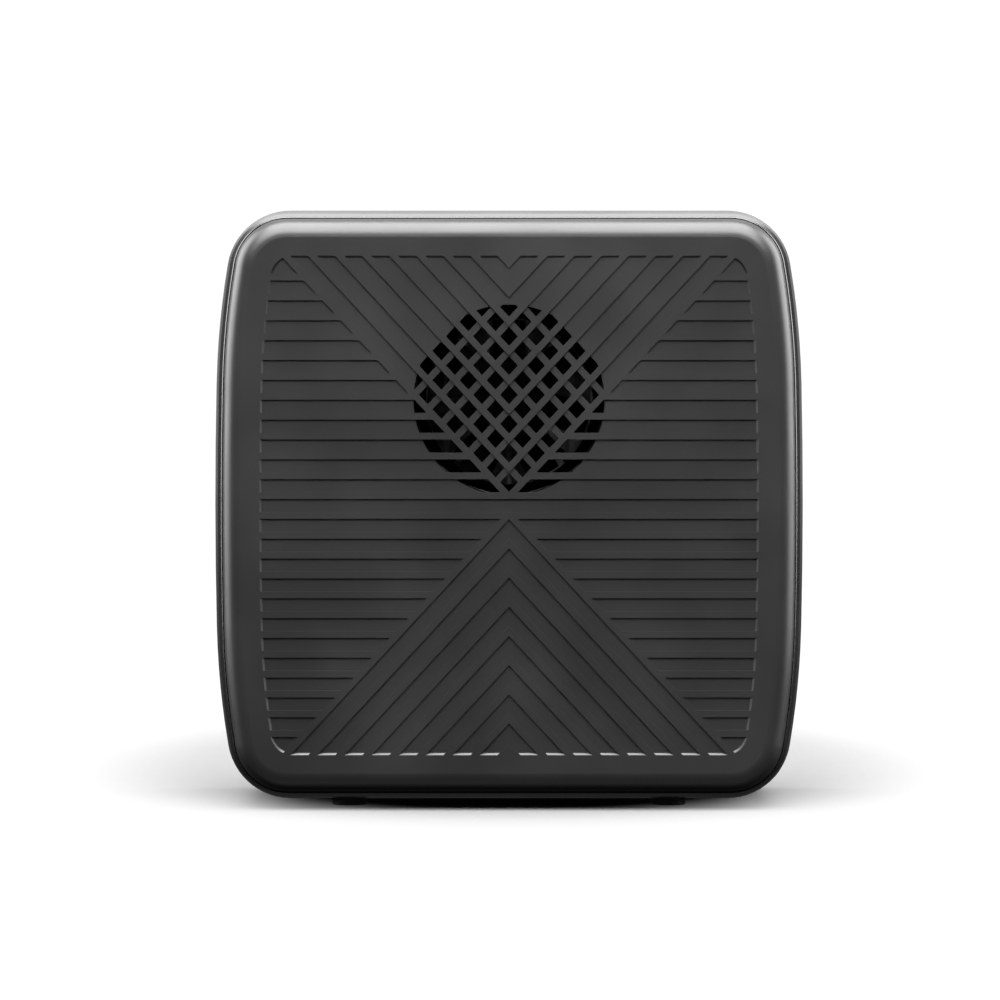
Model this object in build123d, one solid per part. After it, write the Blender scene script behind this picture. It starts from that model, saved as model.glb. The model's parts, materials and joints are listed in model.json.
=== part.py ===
"""Upright mesh wifi node with a ribbed front, a round fan inlet and ports at the back.

Millimetres.  +Z is up, the ribbed front faces -Y, and the ports face +Y.
The origin is the centre of the footprint, on the surface that the node stands on.
Sketches are drawn about the middle of the body, with x to the right and z up, and
slab() turns one into a solid between two depths.
"""
from build123d import *
from math import asin, atan2, cos, degrees, pi, radians, sin, sqrt
import os

# ---------------------------------------------------------------- body
HALF = 75.55                # half the width and half the height at the widest section
FOOT_DROP = 1.5             # how far the feet stand below the body
CENTRE_Z = HALF + FOOT_DROP
DEPTH = 72.0
FRONT = -DEPTH / 2          # outside of the front cover
REAR = DEPTH / 2            # outside of the rear cover
WALL = 2.4

BELLY_R = 1370.0            # side outline: a nearly straight middle,
BELLY_HALF = 31.0           # this far above and below the centre,
FLANK_R = 213.0             # then a tighter bow,
CORNER_R = 16.6             # then the corners

BELT_HALF = 11.0            # half depth of the straight belt around the widest section
HOUSING_HALF = 30.2         # half depth of the housing
SHOULDER_DROP = 1.75        # how far the housing draws in towards its front and rear edges
LEDGE_RUN = 0.75            # sloping ledge on those edges: how far it runs in,
LEDGE_FALL = 0.4            # and how much depth it takes

COVER_INSET = 3.07          # outline of both covers, in from the widest section
COVER_SKIRT = 2.6           # wall of the skirt of both covers
COVER_ROUND = 4.9           # rounding of the edge of both covers
SEAM = 0.6                  # gap between housing and cover, filled by the gasket
LIP_OUT = 2.55              # sloping lip of the gasket, seen as a fine line in the seam,
LIP_IN = 2.76               # from its low outer edge to its high inner edge
GASKET_BASE = 0.06          # thin part of the gasket, between its lip and the cover
TONGUE_IN = 5.7             # tongue of the housing, inside the skirts
TONGUE_OUT = 6.9
TONGUE_LENGTH = 2.2

# ---------------------------------------------------------------- ribbed field
RIB_PITCH = 5.0             # square to the rib, in all three directions
RIB_WIDTH = 1.7
RIB_TAN = 1.079             # slope of the slanted ribs
GROOVE_DEPTH = 0.42
FIELD_INSET = 12.65         # edge of the ribbed field, in from the widest section
FIELD_SLOPE = 0.5           # width of the sloping edge around the field
FIELD_CORNER_R = 5.6
VEE_APEX = 2.19             # first V rib's centre line crosses the middle this high
VEE_COUNT = 8
LEVEL_COUNT = 12            # level ribs above the centre, and as many below
SLANT_PITCH = RIB_PITCH * sqrt(1 + RIB_TAN ** 2)
SLANT_HALF = RIB_WIDTH / 2 * sqrt(1 + RIB_TAN ** 2)

INLET_Z = 26.54             # round fan inlet, above the body's centre
INLET_R = 24.1

# ---------------------------------------------------------------- fan, 45 x 45 x 10
FAN_SIZE = 45.0
FAN_DEPTH = 10.0
FAN_HOLE_PITCH = 37.0
FAN_BORE_R = 21.3
FAN_FRONT = FRONT + 6.7
FAN_BACK = FAN_FRONT + FAN_DEPTH
HUB_R = 10.0
BLADE_TIP_R = 20.8
BLADE_COUNT = 7
BLADE_CHORD = 10.5
BLADE_THICK = 0.9
BLADE_PITCH_DEG = 38.0
BLADE_CAMBER = 0.14         # height of the blade's curve, as a share of its chord
SHAFT_R = 1.0
FAN_CORNER_R = 3.5
FAN_WALL = 1.2              # wall around the bore
FAN_FLANGE = 2.6            # thickness of the corner flanges
FAN_BASE = 1.5              # thickness of the motor's base and its struts
HUB_WALL = 0.8
HUB_FRONT = FAN_FRONT + 0.4
HUB_BACK = FAN_BACK - 2.0
BEARING_TUBE_R = 3.2
BEARING_BORE_R = 2.4
BEARING_FRONT = FAN_FRONT + 2.7
POLE_X = 5.6                # middle of each stator arm, out from the shaft
FUNNEL_FLANGE = 0.9

# ---------------------------------------------------------------- main board
BOARD_FRONT = 12.4
BOARD_THICK = 1.6
BOARD_BACK = BOARD_FRONT + BOARD_THICK
BOARD_HALF_W = 56.0
BOARD_TOP = 54.0
BOARD_BOTTOM = -58.0
BOARD_HOLES = [(-50, 48), (50, 48), (-50, -26), (50, -26)]

SINK_HALF = 42.0
SINK_Z = 12.0
SINK_BASE = 3.0
SINK_BACK = BOARD_FRONT - 2.0
SINK_FRONT = -10.6
SINK_SCREW = 38.0
FIN_COUNT = 13
FIN_PITCH = 5.4
FIN_THICK = 1.2
CHIP_THICK = 1.5
PROCESSOR_Z = 22.0
MEMORY_Z = -2.0
RADIO_X = 28.0
RADIO_Z = 22.0
CAN_W = 38.0
CAN_H = 32.0
CAN_DEPTH = 3.2
CAN_WALL = 0.3

# ---------------------------------------------------------------- port bay at the back
BAY_HALF_W = 54.0
BAY_TOP = -32.0
BAY_BOTTOM = -55.0
BAY_DEPTH = 5.0
PANEL_THICK = 1.6
PANEL_FACE = REAR - BAY_DEPTH
PORT_Z = -43.5
WAN_X = -24.0
LAN_XS = [-5.0, 14.0]
DC_X = -43.0
RESET_X = 26.5
PAIR_X = 35.0
POWER_X = 46.5
LIGHT_X = 26.5
LIGHT_Z = -38.0
RESET_Z = -48.0
LEDGE = 1.2                 # ledge that carries the port panel
LABEL_W = 60.0
LABEL_H = 12.0
LABEL_Z = -21.0
LABEL_SEAT = 0.4
EXHAUST_ROWS = 13
EXHAUST_HALF_W = 40.0       # half length of the middle exhaust slot
EXHAUST_TAPER = 1.2         # shortening from one slot to the next, each way
EXHAUST_SLOT = 2.4
EXHAUST_LOW = -6.0

JACK_W = 16.0
JACK_H = 13.6
JACK_MOUTH_W = 11.8
JACK_MOUTH_H = 7.0
JACK_KEY_W = 6.4
JACK_KEY_H = 2.2
JACK_MOUTH_DEPTH = 13.0
JACK_MOUTH_Z = PORT_Z - 0.6
JACK_WALL = 0.4
CONTACT_PITCH = 1.02
CONTACT_R = 0.22
CONTACT_LENGTH = 9.0
DC_W = 9.0
DC_H = 11.0
DC_BORE_R = 3.2
DC_BORE_DEPTH = 10.0

BUTTON_PROUD = 1.4
SWITCH_HEIGHT = 4.0
SWITCH_W = 6.0
SWITCH_WELL = 2.4           # height of the well's floor above the board
PLUNGER_R = 1.65
PLUNGER_PROUD = 1.2
PLUNGER_SUNK = 0.5
POWER_R = 4.5
PAIR_R = 3.5
BUTTON_RIM = 0.9
BUTTON_SKIRT = 1.4          # how far a button's cap reaches behind the panel
RESET_HOLE_R = 1.0
PIPE_R = 1.5

# ---------------------------------------------------------------- screws and feet
COVER_SCREW = (58.5, 60.5)
FRONT_SCREW = (62.5, 44.0)
PILOT_R = 1.15              # hole that a screw of SCREW_R bites into
SCREW_R = 1.1
CLEAR_R = 1.6               # hole that a screw passes through
POST_R = 3.0
EAR_W = 9.0
EAR_REACH = 9.0
EAR_CLIP = 3.0              # ears end inside the wall, this far in from the widest section
EAR_FRONT = -27.5
EAR_THICK = 3.0
REAR_EAR = (22.0, 27.5)
WELL_R = 4.2                # screw wells of the rear cover
WELL_HEAD_R = 3.0
WELL_DEPTH = 5.5
FIT = 0.15                  # clearance around a part that drops into a seat
FOOT_R = 4.5
FOOT_X = 41.0
FOOT_Y = 16.0
FOOT_HEIGHT = 2.75

CORNERS = [(-1, -1), (-1, 1), (1, -1), (1, 1)]

# ================================================================ helpers


def plane_at(y):
    """Plane square to Y at this depth: its x is X, its y is Z about the body's centre."""
    return Plane(origin=(0, y, CENTRE_Z), x_dir=(1, 0, 0), z_dir=(0, -1, 0))


def slab(sketch, front, back):
    """Solid of a front-view sketch between two depths."""
    return extrude(plane_at(back) * sketch, amount=back - front)


def disc(radius, front, back, x=0.0, z=0.0):
    return slab(Pos(x, z) * Circle(radius), front, back)


def tube(outer, inner, front, back, x=0.0, z=0.0):
    return slab(Pos(x, z) * (Circle(outer) - Circle(inner)), front, back)


def block(width, height, front, back, x=0.0, z=0.0):
    return slab(Pos(x, z) * Rectangle(width, height), front, back)


def joined(pieces):
    """One solid from pieces that touch."""
    whole = pieces[0]
    for piece in pieces[1:]:
        whole = whole + piece
    return whole


def outline(inset, corner=None):
    """Rounded square with bowed sides, drawn in by inset from the widest section."""
    half = HALF - inset
    corner = CORNER_R - inset if corner is None else corner
    belly = BELLY_R - inset
    flank = FLANK_R - inset
    bow = asin(BELLY_HALF / BELLY_R)
    belly_centre = half - belly
    flank_centre = (belly_centre + (belly - flank) * cos(bow), (belly - flank) * sin(bow))
    corner_z = half - corner
    corner_x = flank_centre[0] + sqrt((flank - corner) ** 2 - (corner_z - flank_centre[1]) ** 2)
    turn = degrees(atan2(corner_z - flank_centre[1], corner_x - flank_centre[0]))
    bow = degrees(bow)
    right = [
        CenterArc((corner_x, corner_z), corner, turn, 90 - turn),
        CenterArc(flank_centre, flank, bow, turn - bow),
        CenterArc((belly_centre, 0), belly, -bow, 2 * bow),
        CenterArc((flank_centre[0], -flank_centre[1]), flank, -turn, turn - bow),
        CenterArc((corner_x, -corner_z), corner, -90, 90 - turn),
    ]
    left = [arc.mirror(Plane.YZ) for arc in right]
    top = [Line((-corner_x, half), (0, half)), Line((0, half), (corner_x, half))]
    bottom = [Line((-corner_x, -half), (corner_x, -half))]
    return make_face(Curve() + right + left + top + bottom)


def ring(outer_inset, inner_inset, front, back):
    return slab(outline(outer_inset) - outline(inner_inset), front, back)


def screw(head_r, head_height, shank_r, length, y, x, z, direction=1):
    """Pan-head screw with a cross recess; the head's seat is at y, the shank runs along direction."""
    if direction > 0:
        head = disc(head_r, y - head_height, y, x, z)
        shank = disc(shank_r, y, y + length, x, z)
        top = y - head_height
        cross_front, cross_back = top, top + head_height * 0.6
    else:
        head = disc(head_r, y, y + head_height, x, z)
        shank = disc(shank_r, y - length, y, x, z)
        top = y + head_height
        cross_front, cross_back = top - head_height * 0.6, top
    rim = head.edges().filter_by(GeomType.CIRCLE).group_by(Axis.Y)[0 if direction > 0 else -1]
    head = fillet(rim, head_height * 0.35)
    cross = block(head_r * 1.1, head_r * 0.24, cross_front, cross_back, x, z)
    cross += block(head_r * 0.24, head_r * 1.1, cross_front, cross_back, x, z)
    return head + shank - cross


def lead(points, radius, turn_radius):
    """Round wire along straight runs joined by arcs; prints its volume against its length."""
    path = FilletPolyline(*points, radius=turn_radius)
    section = Plane(origin=path @ 0, z_dir=path % 0) * Circle(radius)
    wire = sweep(section, path=path)
    print(f"wire volume {wire.volume:.1f}, section times length {pi * radius ** 2 * path.length:.1f}")
    return wire


# ================================================================ shells


def shoulder(y):
    """How far the housing's outside has drawn in at this depth."""
    run = HOUSING_HALF - LEDGE_FALL - BELT_HALF
    radius = (run ** 2 + SHOULDER_DROP ** 2) / (2 * SHOULDER_DROP)
    past = max(abs(y) - BELT_HALF, 0)
    return radius - sqrt(radius ** 2 - past ** 2)


def wall_section():
    """Section of the housing's wall at the top, on the YZ plane."""
    def point(y, inset):
        return (0, y, CENTRE_Z + HALF - inset)

    mid = (BELT_HALF + HOUSING_HALF) / 2
    edge = HOUSING_HALF - LEDGE_FALL
    lowest = shoulder(edge) + LEDGE_RUN
    edges = []
    for side in (-1, 1):
        edges += [
            ThreePointArc(
                point(side * BELT_HALF, 0),
                point(side * mid, shoulder(mid)),
                point(side * edge, shoulder(edge)),
            ),
            Line(point(side * edge, shoulder(edge)), point(side * HOUSING_HALF, lowest)),
            Line(point(side * HOUSING_HALF, lowest), point(side * HOUSING_HALF, lowest + WALL)),
            ThreePointArc(
                point(side * HOUSING_HALF, lowest + WALL),
                point(side * mid, shoulder(mid) + WALL),
                point(side * BELT_HALF, WALL),
            ),
        ]
    edges.append(Line(point(-BELT_HALF, 0), point(BELT_HALF, 0)))
    edges.append(Line(point(-BELT_HALF, WALL), point(BELT_HALF, WALL)))
    return make_face(Curve() + edges)


def ear(x, z, reach, angle):
    """Flat tab from a screw position out to the wall, clipped inside the wall."""
    middle_x = x + reach / 2 * cos(radians(angle))
    middle_z = z + reach / 2 * sin(radians(angle))
    tab = Pos(middle_x, middle_z) * SlotCenterToCenter(reach, EAR_W, rotation=angle)
    return tab & outline(EAR_CLIP)


def make_main_housing():
    path = (plane_at(0) * outline(0)).wire()
    shell = sweep(wall_section(), path=path)
    web = SHOULDER_DROP + LEDGE_RUN + 0.1
    for side in (-1, 1):
        near, far = sorted((side * (HOUSING_HALF - WALL), side * HOUSING_HALF))
        shell += ring(web, TONGUE_OUT, near, far)
        near, far = sorted((side * HOUSING_HALF, side * (HOUSING_HALF + TONGUE_LENGTH)))
        shell += ring(TONGUE_IN, TONGUE_OUT, near, far)
    for sx, sz in CORNERS:
        x, z = sx * COVER_SCREW[0], sz * COVER_SCREW[1]
        outward = degrees(atan2(sz, sx))
        shell += slab(ear(x, z, EAR_REACH, outward), *REAR_EAR)
        shell -= disc(PILOT_R + 0.1, REAR_EAR[0], REAR_EAR[1], x, z)
        x, z = sx * FRONT_SCREW[0], sz * FRONT_SCREW[1]
        shell += slab(ear(x, z, EAR_REACH - 1, 0 if sx > 0 else 180), EAR_FRONT, EAR_FRONT + EAR_THICK)
        shell -= disc(CLEAR_R, EAR_FRONT, EAR_FRONT + EAR_THICK, x, z)
        pocket = Cylinder(FOOT_R + FIT, FOOT_HEIGHT + 0.05, align=(Align.CENTER, Align.CENTER, Align.MIN))
        shell -= Pos(sx * FOOT_X, sz * FOOT_Y, 0) * pocket
    return shell


def make_rubber_feet():
    """Four round pads with a rounded lower edge, let into the underside."""
    feet = []
    for sx, sy in CORNERS:
        pad = Cylinder(FOOT_R, FOOT_HEIGHT, align=(Align.CENTER, Align.CENTER, Align.MIN))
        pad = fillet(pad.edges().group_by(Axis.Z)[0], 0.5)
        feet.append(Pos(sx * FOOT_X, sy * FOOT_Y, 0) * pad)
    return feet


# ================================================================ front cover


def folded(points, side):
    """Face of points listed anticlockwise; side -1 turns it upside down."""
    return Polygon(*[(x, side * z) for x, z in points][::side], align=None)


def vee_band(apex, side):
    """One slanted rib, folded at the middle; side is 1 for a V and -1 for an inverted V."""
    reach = HALF
    rise = reach * RIB_TAN
    upper = apex + SLANT_HALF
    lower = apex - SLANT_HALF
    points = [(0, lower), (reach, lower + rise), (reach, upper + rise)]
    points += [(0, upper), (-reach, upper + rise), (-reach, lower + rise)]
    return folded(points, side)


def between_vees():
    """The two side regions, bounded by the first V above and the first inverted V below."""
    reach = HALF
    rise = reach * RIB_TAN + VEE_APEX
    points = [(0, -VEE_APEX), (reach, -rise), (reach, rise)]
    points += [(0, VEE_APEX), (-reach, rise), (-reach, -rise)]
    return Polygon(*points, align=None)


def rib_sketch():
    """All ribs whose tops are level with the bezel."""
    first_edge = RIB_PITCH / 2 - RIB_WIDTH / 2
    levels = Sketch()
    for row in range(LEVEL_COUNT):
        height = RIB_PITCH / 2 + row * RIB_PITCH
        for side in (1, -1):
            levels += Pos(0, side * height) * Rectangle(2 * HALF, RIB_WIDTH)
    ribs = levels & between_vees()
    for side in (1, -1):
        beyond = Pos(0, side * (first_edge + HALF)) * Rectangle(2 * HALF, 2 * HALF)
        for count in range(VEE_COUNT):
            ribs += vee_band(VEE_APEX + count * SLANT_PITCH, side) & beyond
        tip = VEE_APEX + VEE_COUNT * SLANT_PITCH - SLANT_HALF
        wedge_half = (HALF - tip) / RIB_TAN
        ribs += folded([(0, tip), (wedge_half, HALF), (-wedge_half, HALF)], side)
    return ribs


def crossing_sketch():
    """Lower bars that carry each V rib's line on past the middle, across the inlet."""
    reach = HALF
    bars = Sketch()
    for count in range(1, VEE_COUNT + 1):
        apex = VEE_APEX + count * SLANT_PITCH
        fall = reach * RIB_TAN
        upper = apex + SLANT_HALF
        lower = apex - SLANT_HALF
        points = [(0, lower), (reach, lower - fall), (reach, upper - fall)]
        points += [(0, upper), (-reach, upper - fall), (-reach, lower - fall)]
        bars += Polygon(*points, align=None)
    rise = reach * RIB_TAN
    above = Polygon((0, VEE_APEX), (reach, VEE_APEX + rise), (-reach, VEE_APEX + rise), align=None)
    return bars & above


def make_front_cover():
    back = -HOUSING_HALF - SEAM
    inner_face = FRONT + WALL
    floor = FRONT + GROOVE_DEPTH
    cover = slab(outline(COVER_INSET), FRONT, back)
    cover = fillet(cover.edges().group_by(Axis.Y)[0], COVER_ROUND)
    cover -= slab(outline(COVER_INSET + COVER_SKIRT), inner_face, back)

    field = outline(FIELD_INSET, FIELD_CORNER_R)
    field_floor = outline(FIELD_INSET + FIELD_SLOPE, FIELD_CORNER_R - FIELD_SLOPE)
    pocket = loft([plane_at(FRONT) * field, plane_at(floor) * field_floor], ruled=True)
    ribs = rib_sketch()
    cover -= pocket - slab(ribs, FRONT, floor)

    inlet = Pos(0, INLET_Z) * Circle(INLET_R)
    cover -= slab(inlet, FRONT, inner_face)
    reach = Pos(0, INLET_Z) * Circle(INLET_R + 0.2)
    cover += slab(ribs & reach, FRONT, inner_face)
    cover += slab(crossing_sketch() & reach, floor, inner_face)

    for sx, sz in CORNERS:
        x, z = sx * FAN_HOLE_PITCH / 2, INLET_Z + sz * FAN_HOLE_PITCH / 2
        cover += disc(POST_R - 0.6, inner_face, FAN_FRONT - FUNNEL_FLANGE, x, z)
        cover -= disc(PILOT_R, inner_face, FAN_FRONT - FUNNEL_FLANGE, x, z)
        x, z = sx * FRONT_SCREW[0], sz * FRONT_SCREW[1]
        cover += disc(POST_R, inner_face, EAR_FRONT, x, z)
        cover -= disc(PILOT_R, inner_face, EAR_FRONT, x, z)
    return cover


def make_seam_gasket(side):
    """Flat seal between housing and cover, with a sloping lip that shows as a fine line."""
    def at_height(height):
        return side * (HOUSING_HALF + height)

    def layer(outer, inner, low, high):
        near, far = sorted((at_height(low), at_height(high)))
        return ring(outer, inner, near, far)

    inner = TONGUE_IN - 0.1
    gasket = layer(COVER_INSET + 0.2, inner, 0, SEAM)
    gasket += layer(LIP_OUT, inner, 0, GASKET_BASE)
    lip_top = GASKET_BASE + LIP_IN - LIP_OUT
    low_outline = plane_at(at_height(GASKET_BASE)) * outline(LIP_OUT)
    high_outline = plane_at(at_height(lip_top)) * outline(LIP_IN)
    lip = loft([low_outline, high_outline], ruled=True)
    near, far = sorted((at_height(GASKET_BASE), at_height(lip_top)))
    return gasket + (lip - slab(outline(LIP_IN), near, far))


# ================================================================ rear cover


def make_rear_cover():
    inner_face = REAR - WALL
    start = HOUSING_HALF + SEAM
    cover = slab(outline(COVER_INSET), start, REAR)
    cover = fillet(cover.edges().group_by(Axis.Y)[-1], COVER_ROUND)
    cover -= slab(outline(COVER_INSET + COVER_SKIRT), start, inner_face)

    # exhaust slots, with an upright bar down their middle
    for row in range(EXHAUST_ROWS):
        z = EXHAUST_LOW + row * RIB_PITCH
        slot_half = EXHAUST_HALF_W - abs(row - EXHAUST_ROWS // 2) * EXHAUST_TAPER
        cover -= slab(Pos(0, z) * SlotOverall(2 * slot_half, EXHAUST_SLOT), inner_face, REAR)
    span = (EXHAUST_ROWS - 1) * RIB_PITCH
    cover += block(3.0, span + EXHAUST_SLOT, inner_face, REAR, 0, EXHAUST_LOW + span / 2)

    # recessed bay for the ports, with a ledge that the port panel rests on
    bay_z = (BAY_TOP + BAY_BOTTOM) / 2
    bay_h = BAY_TOP - BAY_BOTTOM
    ledge_front = PANEL_FACE - PANEL_THICK - LEDGE
    bay_wall = 1.6
    cover += block(2 * (BAY_HALF_W + bay_wall), bay_h + 2 * bay_wall, ledge_front, inner_face, 0, bay_z)
    cover -= block(2 * BAY_HALF_W, bay_h, PANEL_FACE - PANEL_THICK, REAR, 0, bay_z)
    cover -= block(2 * (BAY_HALF_W - LEDGE), bay_h - 2 * LEDGE, ledge_front, PANEL_FACE, 0, bay_z)

    # shallow seat for the blank label
    cover -= block(LABEL_W + 2 * FIT, LABEL_H + 2 * FIT, REAR - LABEL_SEAT, REAR, 0, LABEL_Z)

    # posts that carry the main board
    for x, z in BOARD_HOLES:
        cover += disc(POST_R, BOARD_BACK, inner_face, x, z)
        cover -= disc(PILOT_R, BOARD_BACK, BOARD_BACK + 10.0, x, z)

    # screw wells
    for sx, sz in CORNERS:
        x, z = sx * COVER_SCREW[0], sz * COVER_SCREW[1]
        cover += disc(WELL_R, REAR_EAR[1], inner_face, x, z)
        cover -= disc(WELL_HEAD_R, REAR - WELL_DEPTH, REAR, x, z)
        cover -= disc(CLEAR_R, REAR_EAR[1], REAR - WELL_DEPTH, x, z)
    return cover


def make_port_panel():
    """Plate at the bottom of the bay, with a hole for each port, button and light."""
    bay_z = (BAY_TOP + BAY_BOTTOM) / 2
    bay_h = BAY_TOP - BAY_BOTTOM
    back = PANEL_FACE - PANEL_THICK
    panel = block(2 * BAY_HALF_W - 0.2, bay_h - 0.2, back, PANEL_FACE, 0, bay_z)
    for x in [WAN_X] + LAN_XS:
        panel -= block(JACK_W + 2 * FIT, JACK_H + 2 * FIT, back, PANEL_FACE, x, PORT_Z)
    panel -= block(DC_W + 2 * FIT, DC_H + 2 * FIT, back, PANEL_FACE, DC_X, PORT_Z)
    panel -= disc(PAIR_R + 0.2, back, PANEL_FACE, PAIR_X, PORT_Z)
    panel -= disc(POWER_R + 0.2, back, PANEL_FACE, POWER_X, PORT_Z)
    panel -= disc(RESET_HOLE_R, back, PANEL_FACE, RESET_X, RESET_Z)
    panel -= disc(PIPE_R + 0.05, back, PANEL_FACE, LIGHT_X, LIGHT_Z)
    return panel


def make_label_plate():
    plate = block(LABEL_W, LABEL_H, REAR - LABEL_SEAT, REAR - 0.05, 0, LABEL_Z)
    return fillet(plate.edges().filter_by(Axis.Y), 1.0)


# ================================================================ fan


def make_inlet_funnel():
    """Bell mouth between the front cover and the fan, with a flange for the fan's screws."""
    front = FRONT + WALL
    back = FAN_FRONT
    outer = loft([
        plane_at(front) * Pos(0, INLET_Z) * Circle(INLET_R + 0.5),
        plane_at(back - FUNNEL_FLANGE) * Pos(0, INLET_Z) * Circle(FAN_BORE_R + 1.1),
    ])
    inner = loft([
        plane_at(front) * Pos(0, INLET_Z) * Circle(INLET_R - 0.4),
        plane_at(back) * Pos(0, INLET_Z) * Circle(FAN_BORE_R),
    ])
    plate = Pos(0, INLET_Z) * RectangleRounded(FAN_SIZE, FAN_SIZE, FAN_CORNER_R)
    funnel = outer + slab(plate, back - FUNNEL_FLANGE, back) - inner
    for sx, sz in CORNERS:
        x, z = sx * FAN_HOLE_PITCH / 2, INLET_Z + sz * FAN_HOLE_PITCH / 2
        funnel -= disc(CLEAR_R, back - FUNNEL_FLANGE, back, x, z)
        funnel -= disc(POST_R - 0.5, front, back - FUNNEL_FLANGE, x, z)
    return funnel


def make_fan_frame():
    """Square fan housing with corner flanges, rear struts and the bearing tube."""
    plate = Pos(0, INLET_Z) * RectangleRounded(FAN_SIZE, FAN_SIZE, FAN_CORNER_R)
    body = slab(plate, FAN_FRONT, FAN_BACK)
    waist = plate - Pos(0, INLET_Z) * Circle(FAN_BORE_R + FAN_WALL)
    body -= slab(waist, FAN_FRONT + FAN_FLANGE, FAN_BACK - FAN_FLANGE)
    body -= disc(FAN_BORE_R, FAN_FRONT, FAN_BACK, 0, INLET_Z)
    base_front = FAN_BACK - FAN_BASE
    body += disc(HUB_R + 0.4, base_front, FAN_BACK, 0, INLET_Z)
    for turn in range(4):
        angle = 45 + 90 * turn
        arm = Rot(0, 0, angle) * Pos(FAN_BORE_R / 2 + 5.5, 0) * Rectangle(13.0, 2.0)
        body += slab(Pos(0, INLET_Z) * arm, base_front, FAN_BACK)
    body += disc(BEARING_TUBE_R, BEARING_FRONT, FAN_BACK, 0, INLET_Z)
    body -= disc(BEARING_BORE_R, BEARING_FRONT, FAN_BACK - 0.4, 0, INLET_Z)
    for sx, sz in CORNERS:
        x, z = sx * FAN_HOLE_PITCH / 2, INLET_Z + sz * FAN_HOLE_PITCH / 2
        body -= disc(CLEAR_R, FAN_FRONT, FAN_BACK, x, z)
    return body


def make_fan_rotor():
    """Hub cup with curved blades."""
    cup_floor = HUB_FRONT + 1.2
    hub = disc(HUB_R, HUB_FRONT, HUB_BACK, 0, INLET_Z)
    hub = fillet(hub.edges().group_by(Axis.Y)[0], HUB_WALL)
    hub -= disc(HUB_R - HUB_WALL, cup_floor, HUB_BACK, 0, INLET_Z)
    hub -= disc(SHAFT_R, HUB_FRONT + 0.5, cup_floor, 0, INLET_Z)

    sagitta = BLADE_CHORD * BLADE_CAMBER
    top = ThreePointArc((-BLADE_CHORD / 2, 0), (0, sagitta + BLADE_THICK), (BLADE_CHORD / 2, 0))
    under = ThreePointArc((-BLADE_CHORD / 2, 0), (0, sagitta), (BLADE_CHORD / 2, 0))
    section = Rot(0, 0, BLADE_PITCH_DEG) * make_face(Curve() + [top, under])
    root_r = HUB_R - 0.6
    blade = extrude(Plane.XY * section, amount=BLADE_TIP_R + 1 - root_r)
    middle = (FAN_FRONT + FAN_BACK) / 2 - 0.8
    sweep_zone = tube(BLADE_TIP_R, HUB_R - 0.4, FAN_FRONT + 0.5, FAN_BACK - 2.2, 0, INLET_Z)
    centre = Pos(0, middle, CENTRE_Z + INLET_Z)
    rotor = hub
    for turn in range(BLADE_COUNT):
        placed = centre * Rot(0, 360 / BLADE_COUNT * turn, 0) * Pos(0, 0, root_r) * blade
        rotor += placed & sweep_zone
    return rotor


def make_fan_shaft():
    return disc(SHAFT_R, HUB_FRONT + 0.5, FAN_BACK - 0.9, 0, INLET_Z)


def make_fan_magnet():
    outer = HUB_R - HUB_WALL - 0.05
    return tube(outer, outer - 1.15, HUB_FRONT + 1.4, HUB_BACK - 1.0, 0, INLET_Z)


def make_fan_bearing():
    return tube(BEARING_BORE_R - 0.02, SHAFT_R + 0.03, BEARING_FRONT + 0.2, FAN_BACK - 0.9, 0, INLET_Z)


def make_fan_stator():
    """Laminated core: a ring on the bearing tube with four arms and pole shoes."""
    front, back = FAN_FRONT + 3.1, FAN_BACK - 3.1
    core = tube(4.4, 3.25, front, back, 0, INLET_Z)
    shoes = tube(7.5, 6.8, front, back, 0, INLET_Z)
    for turn in range(4):
        arm = Rot(0, 0, 90 * turn) * Pos(POLE_X, 0) * Rectangle(3.0, 1.6)
        core += slab(Pos(0, INLET_Z) * arm, front, back)
        gap = Rot(0, 0, 45 + 90 * turn) * Pos(7.0, 0) * Rectangle(3.0, 1.8)
        shoes -= slab(Pos(0, INLET_Z) * gap, front, back)
    return core + shoes


def make_fan_coils():
    """Four windings, one around each stator arm."""
    front, back = FAN_FRONT + 2.6, FAN_BACK - 2.6
    coils = []
    for turn in range(4):
        place = Pos(0, INLET_Z) * Rot(0, 0, 90 * turn) * Pos(POLE_X, 0)
        coil = slab(place * RectangleRounded(2.0, 4.6, 0.8), front, back)
        coil -= slab(place * Rectangle(3.4, 1.64), FAN_FRONT + 3.08, FAN_BACK - 3.08)
        coils.append(coil)
    return coils


def make_fan_board():
    return tube(8.8, 3.3, FAN_BACK - 2.5, FAN_BACK - 1.6, 0, INLET_Z)


def make_fan_screws():
    screws = []
    for sx, sz in CORNERS:
        x, z = sx * FAN_HOLE_PITCH / 2, INLET_Z + sz * FAN_HOLE_PITCH / 2
        screws.append(screw(2.5, 1.6, SCREW_R, FAN_DEPTH + 3.6, FAN_BACK, x, z, direction=-1))
    return screws


# ================================================================ board and what it carries


def make_main_board():
    middle = (BOARD_TOP + BOARD_BOTTOM) / 2
    plate = Pos(0, middle) * RectangleRounded(2 * BOARD_HALF_W, BOARD_TOP - BOARD_BOTTOM, 3.0)
    for x, z in BOARD_HOLES:
        plate -= Pos(x, z) * Circle(CLEAR_R)
    for sx, sz in CORNERS:
        plate -= Pos(sx * SINK_SCREW, SINK_Z + sz * SINK_SCREW) * Circle(1.4)
    return slab(plate, BOARD_FRONT, BOARD_BACK)


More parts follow.
